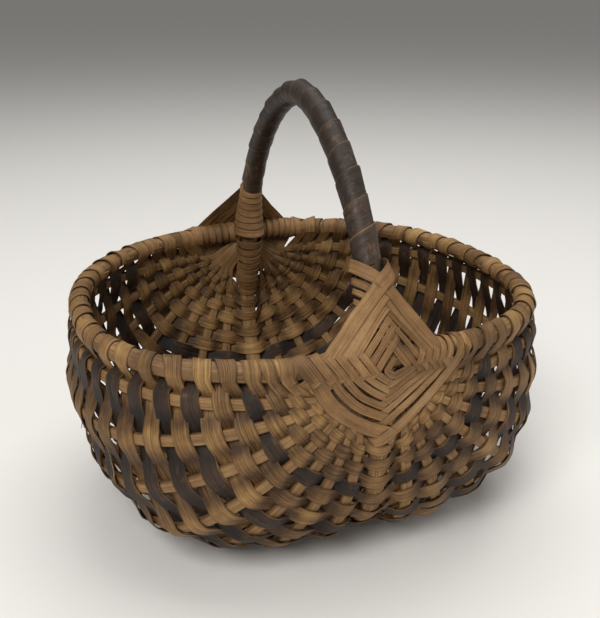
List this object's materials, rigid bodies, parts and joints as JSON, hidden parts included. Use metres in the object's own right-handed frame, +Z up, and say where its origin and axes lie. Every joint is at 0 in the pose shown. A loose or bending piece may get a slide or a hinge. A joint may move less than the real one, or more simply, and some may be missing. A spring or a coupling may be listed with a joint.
{
  "type": "buttocks basket",
  "caption": "Rib-built splint basket with two rounded lobes, a level rim hoop, an arched wrapped handle that runs on as the keel, and a diamond lashing at each ear.",
  "frame": {"origin": "middle of the footprint, on the surface that the basket stands on", "axes": "+Z up, ears and handle hoop in the YZ plane with the more closely seen ear at -Y, lobes towards -X and +X"},
  "size_m": [0.357, 0.3156, 0.3216],
  "materials": {
    "hoop_wood": "shaved and worn, matt",
    "rib_wood": "shaved, matt",
    "woven_splint": "split and weathered, tan with dark grey-brown turns",
    "ear_lashing_splint": "scraped smooth, satin",
    "handle_wrap_splint": "dark, rubbed by hands, satin"
  },
  "bodies": {
    "root": {"handle_hoop": "hoop_wood", "rim_hoop": "hoop_wood", "front_ear_lashing": "ear_lashing_splint", "rear_ear_lashing": "ear_lashing_splint", "handle_wrap": "handle_wrap_splint", "left_rib_1": "rib_wood", "right_rib_1": "rib_wood", "left_rib_2": "rib_wood", "right_rib_2": "rib_wood", "left_rib_3": "rib_wood", "right_rib_3": "rib_wood", "left_rib_4": "rib_wood", "right_rib_4": "rib_wood", "left_rib_5": "rib_wood", "right_rib_5": "rib_wood", "left_rib_6": "rib_wood", "right_rib_6": "rib_wood", "left_rib_7": "rib_wood", "right_rib_7": "rib_wood", "woven_splint_01": "woven_splint", "woven_splint_02": "woven_splint", "woven_splint_03": "woven_splint", "woven_splint_04": "woven_splint", "woven_splint_05": "woven_splint", "woven_splint_06": "woven_splint", "woven_splint_07": "woven_splint", "woven_splint_08": "woven_splint", "woven_splint_09": "woven_splint", "woven_splint_10": "woven_splint", "woven_splint_11": "woven_splint", "woven_splint_12": "woven_splint", "woven_splint_13": "woven_splint", "woven_splint_14": "woven_splint", "woven_splint_15": "woven_splint", "woven_splint_16": "woven_splint", "woven_splint_17": "woven_splint", "woven_splint_18": "woven_splint", "woven_splint_19": "woven_splint", "woven_splint_20": "woven_splint", "woven_splint_21": "woven_splint", "woven_splint_22": "woven_splint", "woven_splint_23": "woven_splint", "woven_splint_24": "woven_splint"}
  },
  "joints": []
}
